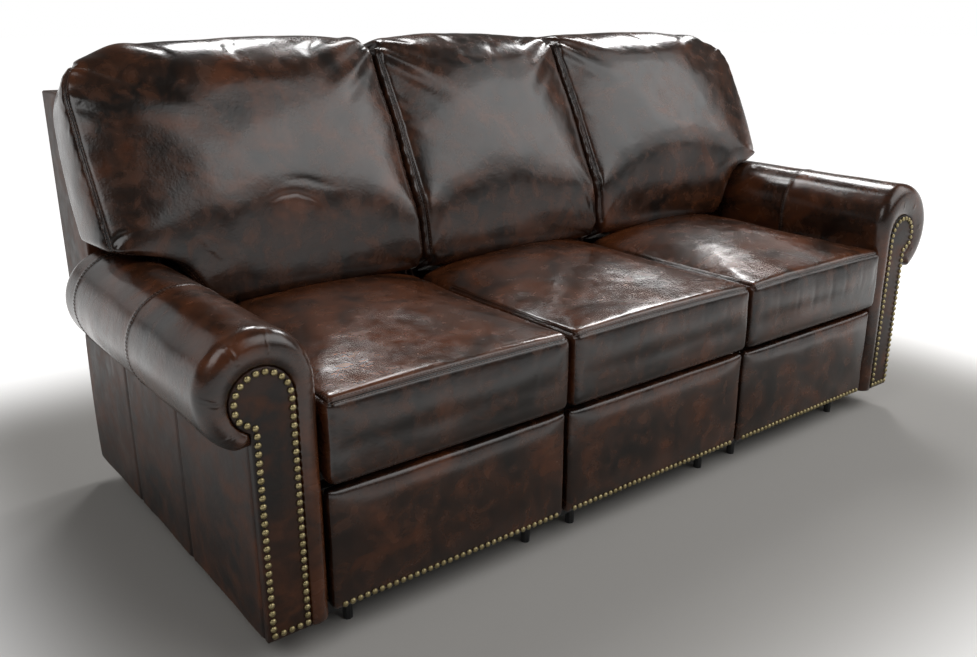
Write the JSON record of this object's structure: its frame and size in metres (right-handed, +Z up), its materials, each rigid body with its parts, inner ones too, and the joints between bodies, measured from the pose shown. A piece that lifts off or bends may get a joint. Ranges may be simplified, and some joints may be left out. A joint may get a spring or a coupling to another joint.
{
  "type": "reclining sofa",
  "caption": "Leather sofa with rolled arms and nail-head trim; each seat has a reclining back and a footrest that swings out from its front panel.",
  "frame": {"origin": "on the floor under the middle of the sofa's bounding box", "axes": "+X along the sofa to the right as seen from the front, +Y towards the back, +Z up"},
  "size_m": [2.16, 0.96, 1.0597],
  "materials": {
    "padded_leather": "satin",
    "leather_panel": "satin",
    "black_steel": "satin",
    "timber": "matte",
    "webbing": "matte"
  },
  "bodies": {
    "root": {"front_base_rail": "black_steel", "rear_base_rail": "black_steel", "left_arm_carcass": "timber", "left_arm_cover": "padded_leather", "left_arm_side_panel": "leather_panel", "left_arm_facing": "leather_panel", "right_arm_carcass": "timber", "right_arm_cover": "padded_leather", "right_arm_side_panel": "leather_panel", "right_arm_facing": "leather_panel", "left_seat_frame": "black_steel", "left_seat_webbing": "webbing", "left_seat_cushion": "padded_leather", "centre_seat_frame": "black_steel", "centre_seat_webbing": "webbing", "centre_seat_cushion": "padded_leather", "right_seat_frame": "black_steel", "right_seat_webbing": "webbing", "right_seat_cushion": "padded_leather"},
    "left_back": {"left_back_frame": "black_steel", "left_outside_back": "leather_panel", "left_back_cushion": "padded_leather"},
    "left_drive_link": {"left_drive_link": "black_steel"},
    "left_rear_links": {"left_rear_link_lh": "black_steel", "left_rear_link_rh": "black_steel"},
    "left_long_links": {"left_long_link_lh": "black_steel", "left_long_link_rh": "black_steel"},
    "left_short_links": {"left_short_link_lh": "black_steel", "left_short_link_rh": "black_steel"},
    "left_footrest": {"left_footrest_bracket": "black_steel", "left_footrest_board": "timber", "left_footrest_pad": "padded_leather"},
    "centre_back": {"centre_back_frame": "black_steel", "centre_outside_back": "leather_panel", "centre_back_cushion": "padded_leather"},
    "centre_drive_link": {"centre_drive_link": "black_steel"},
    "centre_rear_links": {"centre_rear_link_lh": "black_steel", "centre_rear_link_rh": "black_steel"},
    "centre_long_links": {"centre_long_link_lh": "black_steel", "centre_long_link_rh": "black_steel"},
    "centre_short_links": {"centre_short_link_lh": "black_steel", "centre_short_link_rh": "black_steel"},
    "centre_footrest": {"centre_footrest_bracket": "black_steel", "centre_footrest_board": "timber", "centre_footrest_pad": "padded_leather"},
    "right_back": {"right_back_frame": "black_steel", "right_outside_back": "leather_panel", "right_back_cushion": "padded_leather"},
    "right_drive_link": {"right_drive_link": "black_steel"},
    "right_rear_links": {"right_rear_link_lh": "black_steel", "right_rear_link_rh": "black_steel"},
    "right_long_links": {"right_long_link_lh": "black_steel", "right_long_link_rh": "black_steel"},
    "right_short_links": {"right_short_link_lh": "black_steel", "right_short_link_rh": "black_steel"},
    "right_footrest": {"right_footrest_bracket": "black_steel", "right_footrest_board": "timber", "right_footrest_pad": "padded_leather"}
  },
  "joints": [
    {"name": "left_recline", "type": "hinge", "parent": "root", "child": "left_back", "pos_m": [-0.584, 0.19, 0.36], "axis": [-1, 0, 0], "range_deg": [0, 20]},
    {"name": "left_footrest_swing", "type": "hinge", "parent": "root", "child": "left_drive_link", "pos_m": [-0.584, -0.33, 0.338], "axis": [-1, 0, 0], "range_deg": [0, 90]},
    {"name": "left_rear_link_pivot", "type": "hinge", "parent": "root", "child": "left_rear_links", "pos_m": [-0.584, -0.28418, 0.30757], "axis": [-1, 0, 0], "range_deg": [0, 90]},
    {"name": "left_long_link_pivot", "type": "hinge", "parent": "left_drive_link", "child": "left_long_links", "pos_m": [-0.584, -0.22223, 0.10689], "axis": [-1, 0, 0], "range_deg": [-90, 0]},
    {"name": "left_short_link_pivot", "type": "hinge", "parent": "left_drive_link", "child": "left_short_links", "pos_m": [-0.584, -0.24548, 0.15674], "axis": [-1, 0, 0], "range_deg": [-90, 0]},
    {"name": "left_footrest_pivot", "type": "hinge", "parent": "left_long_links", "child": "left_footrest", "pos_m": [-0.584, -0.385, 0.215], "axis": [-1, 0, 0], "range_deg": [0, 90]},
    {"name": "centre_recline", "type": "hinge", "parent": "root", "child": "centre_back", "pos_m": [0, 0.19, 0.36], "axis": [-1, 0, 0], "range_deg": [0, 20]},
    {"name": "centre_footrest_swing", "type": "hinge", "parent": "root", "child": "centre_drive_link", "pos_m": [0, -0.33, 0.338], "axis": [-1, 0, 0], "range_deg": [0, 90]},
    {"name": "centre_rear_link_pivot", "type": "hinge", "parent": "root", "child": "centre_rear_links", "pos_m": [0, -0.28418, 0.30757], "axis": [-1, 0, 0], "range_deg": [0, 90]},
    {"name": "centre_long_link_pivot", "type": "hinge", "parent": "centre_drive_link", "child": "centre_long_links", "pos_m": [0, -0.22223, 0.10689], "axis": [-1, 0, 0], "range_deg": [-90, 0]},
    {"name": "centre_short_link_pivot", "type": "hinge", "parent": "centre_drive_link", "child": "centre_short_links", "pos_m": [0, -0.24548, 0.15674], "axis": [-1, 0, 0], "range_deg": [-90, 0]},
    {"name": "centre_footrest_pivot", "type": "hinge", "parent": "centre_long_links", "child": "centre_footrest", "pos_m": [0, -0.385, 0.215], "axis": [-1, 0, 0], "range_deg": [0, 90]},
    {"name": "right_recline", "type": "hinge", "parent": "root", "child": "right_back", "pos_m": [0.584, 0.19, 0.36], "axis": [-1, 0, 0], "range_deg": [0, 20]},
    {"name": "right_footrest_swing", "type": "hinge", "parent": "root", "child": "right_drive_link", "pos_m": [0.584, -0.33, 0.338], "axis": [-1, 0, 0], "range_deg": [0, 90]},
    {"name": "right_rear_link_pivot", "type": "hinge", "parent": "root", "child": "right_rear_links", "pos_m": [0.584, -0.28418, 0.30757], "axis": [-1, 0, 0], "range_deg": [0, 90]},
    {"name": "right_long_link_pivot", "type": "hinge", "parent": "right_drive_link", "child": "right_long_links", "pos_m": [0.584, -0.22223, 0.10689], "axis": [-1, 0, 0], "range_deg": [-90, 0]},
    {"name": "right_short_link_pivot", "type": "hinge", "parent": "right_drive_link", "child": "right_short_links", "pos_m": [0.584, -0.24548, 0.15674], "axis": [-1, 0, 0], "range_deg": [-90, 0]},
    {"name": "right_footrest_pivot", "type": "hinge", "parent": "right_long_links", "child": "right_footrest", "pos_m": [0.584, -0.385, 0.215], "axis": [-1, 0, 0], "range_deg": [0, 90]}
  ],
  "couplings": [
    {"joint": "left_rear_link_pivot", "follows": "left_footrest_swing", "ratio": 1},
    {"joint": "left_long_link_pivot", "follows": "left_footrest_swing", "ratio": -1},
    {"joint": "left_short_link_pivot", "follows": "left_footrest_swing", "ratio": -1},
    {"joint": "left_footrest_pivot", "follows": "left_footrest_swing", "ratio": 1},
    {"joint": "centre_rear_link_pivot", "follows": "centre_footrest_swing", "ratio": 1},
    {"joint": "centre_long_link_pivot", "follows": "centre_footrest_swing", "ratio": -1},
    {"joint": "centre_short_link_pivot", "follows": "centre_footrest_swing", "ratio": -1},
    {"joint": "centre_footrest_pivot", "follows": "centre_footrest_swing", "ratio": 1},
    {"joint": "right_rear_link_pivot", "follows": "right_footrest_swing", "ratio": 1},
    {"joint": "right_long_link_pivot", "follows": "right_footrest_swing", "ratio": -1},
    {"joint": "right_short_link_pivot", "follows": "right_footrest_swing", "ratio": -1},
    {"joint": "right_footrest_pivot", "follows": "right_footrest_swing", "ratio": 1}
  ]
}
